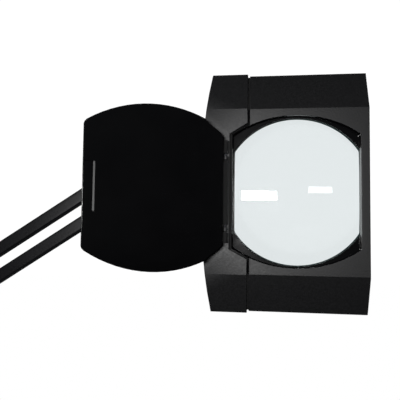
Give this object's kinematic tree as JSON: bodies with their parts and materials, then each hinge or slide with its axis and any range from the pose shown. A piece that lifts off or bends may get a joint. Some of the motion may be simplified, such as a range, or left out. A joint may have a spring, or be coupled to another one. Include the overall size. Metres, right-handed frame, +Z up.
{
  "type": "bench magnifying lamp",
  "caption": "Bench magnifying lamp: rectangular lit head with a double-D glass lens and hinged cover, on a parallel-tube arm with elbow, post and table clamp.",
  "frame": {"origin": "on the underside of the clamp's top pad, where it rests on the table top, under the post", "axes": "+Z up along the post; +X the way the upper arm reaches at rest; -Y the way the lens faces"},
  "size_m": [0.6553, 0.1653, 0.9876],
  "materials": {
    "moulded_abs": "fine-grain moulded black ABS",
    "satin_abs": "satin black ABS",
    "knob_nylon": "moulded black nylon",
    "black_rubber": "plain",
    "lens_glass": "polished crown glass",
    "natural_nylon": "moulded",
    "opal_acrylic": "opal diffusing",
    "circuit_board": "white solder mask",
    "powder_coated_steel": "satin black powder coat",
    "zinc_steel": "bright zinc plate"
  },
  "bodies": {
    "clamp": {"clamp_frame": "powder_coated_steel", "clamp_top_pad": "black_rubber", "post_bush": "natural_nylon"},
    "screw_pad": {"clamp_swivel_pad": "zinc_steel"},
    "screw": {"clamp_screw": "zinc_steel", "clamp_handle": "zinc_steel"},
    "post": {"base_post": "zinc_steel", "base_bracket": "powder_coated_steel", "dc_inlet": "satin_abs", "base_bolt_left": "zinc_steel", "base_bolt_right": "zinc_steel"},
    "lower_left_arm": {"lower_tube_left": "powder_coated_steel", "lower_spring": "zinc_steel", "lower_spring_anchor": "zinc_steel"},
    "lower_right_arm": {"lower_tube_right": "powder_coated_steel"},
    "elbow": {"elbow_cheek_front": "powder_coated_steel", "elbow_cheek_back": "powder_coated_steel", "elbow_spacer": "zinc_steel", "elbow_bolt_left": "zinc_steel", "elbow_bolt_right": "zinc_steel", "elbow_bolt_middle": "zinc_steel", "elbow_bolt_top": "zinc_steel"},
    "elbow_tightener": {"elbow_knob": "knob_nylon"},
    "upper_bottom_arm": {"upper_tube_bottom": "powder_coated_steel", "upper_spring": "zinc_steel", "upper_spring_anchor": "zinc_steel"},
    "upper_top_arm": {"upper_tube_top": "powder_coated_steel"},
    "wrist": {"head_bracket": "powder_coated_steel", "wrist_bolt_bottom": "zinc_steel", "wrist_bolt_top": "zinc_steel"},
    "knuckle": {"swivel_pin": "zinc_steel", "swivel_washer": "natural_nylon", "knuckle_fork": "powder_coated_steel", "tilt_bolt": "zinc_steel"},
    "head_tightener": {"head_knob": "knob_nylon"},
    "neck": {"neck": "powder_coated_steel", "neck_nut": "zinc_steel"},
    "head": {"front_shell": "moulded_abs", "back_shell": "moulded_abs", "end_cap": "moulded_abs", "neck_bush": "natural_nylon", "lens": "lens_glass", "lens_gasket": "black_rubber", "lens_retainer": "satin_abs", "led_board_top": "circuit_board", "led_board_bottom": "circuit_board", "diffuser_top": "opal_acrylic", "diffuser_bottom": "opal_acrylic", "driver_board": "circuit_board", "power_switch": "satin_abs", "case_screw_1": "zinc_steel", "case_screw_2": "zinc_steel", "case_screw_3": "zinc_steel", "case_screw_4": "zinc_steel", "cap_screw_1": "zinc_steel", "cap_screw_2": "zinc_steel", "hinge_pin_1": "zinc_steel", "hinge_pin_2": "zinc_steel"},
    "cover": {"lens_cover": "satin_abs"},
    "button": {"power_button": "satin_abs"}
  },
  "joints": [
    {"name": "post_swivel", "type": "hinge", "parent": "clamp", "child": "post", "pos_m": [0, 0, 0.04], "axis": [0, 0, 1], "continuous": true},
    {"name": "lower_arm_tilt", "type": "hinge", "parent": "post", "child": "lower_right_arm", "pos_m": [0.0185, 0, 0.075], "axis": [0, 1, 0], "range_deg": [-30, 60]},
    {"name": "lower_left_pivot", "type": "hinge", "parent": "post", "child": "lower_left_arm", "pos_m": [-0.0185, 0, 0.075], "axis": [0, 1, 0], "range_deg": [-30, 60]},
    {"name": "elbow_level", "type": "hinge", "parent": "lower_right_arm", "child": "elbow", "pos_m": [-0.16929, 0, 0.42818], "axis": [0, 1, 0], "range_deg": [-60, 30]},
    {"name": "upper_arm_tilt", "type": "hinge", "parent": "elbow", "child": "upper_bottom_arm", "pos_m": [-0.18779, 0, 0.46568], "axis": [0, 1, 0], "range_deg": [-25, 55]},
    {"name": "upper_top_pivot", "type": "hinge", "parent": "elbow", "child": "upper_top_arm", "pos_m": [-0.18779, 0, 0.50268], "axis": [0, 1, 0], "range_deg": [-25, 55]},
    {"name": "wrist_level", "type": "hinge", "parent": "upper_bottom_arm", "child": "wrist", "pos_m": [0.14957, 0, 0.6806], "axis": [0, 1, 0], "range_deg": [-55, 25]},
    {"name": "head_swivel", "type": "hinge", "parent": "wrist", "child": "knuckle", "pos_m": [0.17797, 0, 0.6806], "axis": [0, 0, 1], "range_deg": [-40, 90]},
    {"name": "head_tilt", "type": "hinge", "parent": "knuckle", "child": "neck", "pos_m": [0.19997, 0, 0.671], "axis": [0, 1, 0], "range_deg": [-45, 45]},
    {"name": "head_roll", "type": "hinge", "parent": "neck", "child": "head", "pos_m": [0.23157, 0, 0.671], "axis": [1, 0, 0], "range_deg": [-90, 90]},
    {"name": "cover_hinge", "type": "hinge", "parent": "head", "child": "cover", "pos_m": [0.26287, -0.0306, 0.671], "axis": [0, 0, -1], "range_deg": [-150, 0]},
    {"name": "button_press", "type": "slide", "parent": "head", "child": "button", "axis": [0, 0, -1], "range_m": [0, 0.0015], "stiffness_N_per_m": 400},
    {"name": "head_knob_turn", "type": "hinge", "parent": "knuckle", "child": "head_tightener", "pos_m": [0.19997, -0.02, 0.671], "axis": [0, 1, 0], "range_deg": [-180, 180]},
    {"name": "elbow_knob_turn", "type": "hinge", "parent": "elbow", "child": "elbow_tightener", "pos_m": [-0.18779, -0.02, 0.46568], "axis": [0, 1, 0], "range_deg": [-180, 180]},
    {"name": "screw_turn", "type": "hinge", "parent": "screw_pad", "child": "screw", "pos_m": [0, 0, -0.1], "axis": [0, 0, 1], "range_deg": [-2641, 4801]},
    {"name": "pad_travel", "type": "slide", "parent": "clamp", "child": "screw_pad", "axis": [0, 0, 1], "range_m": [-0.022, 0.04]}
  ],
  "couplings": [
    {"joint": "lower_left_pivot", "follows": "lower_arm_tilt", "ratio": 1},
    {"joint": "elbow_level", "follows": "lower_arm_tilt", "ratio": -1},
    {"joint": "upper_top_pivot", "follows": "upper_arm_tilt", "ratio": 1},
    {"joint": "wrist_level", "follows": "upper_arm_tilt", "ratio": -1},
    {"joint": "screw_turn", "follows": "pad_travel", "rad_per_m": 2094.4}
  ]
}
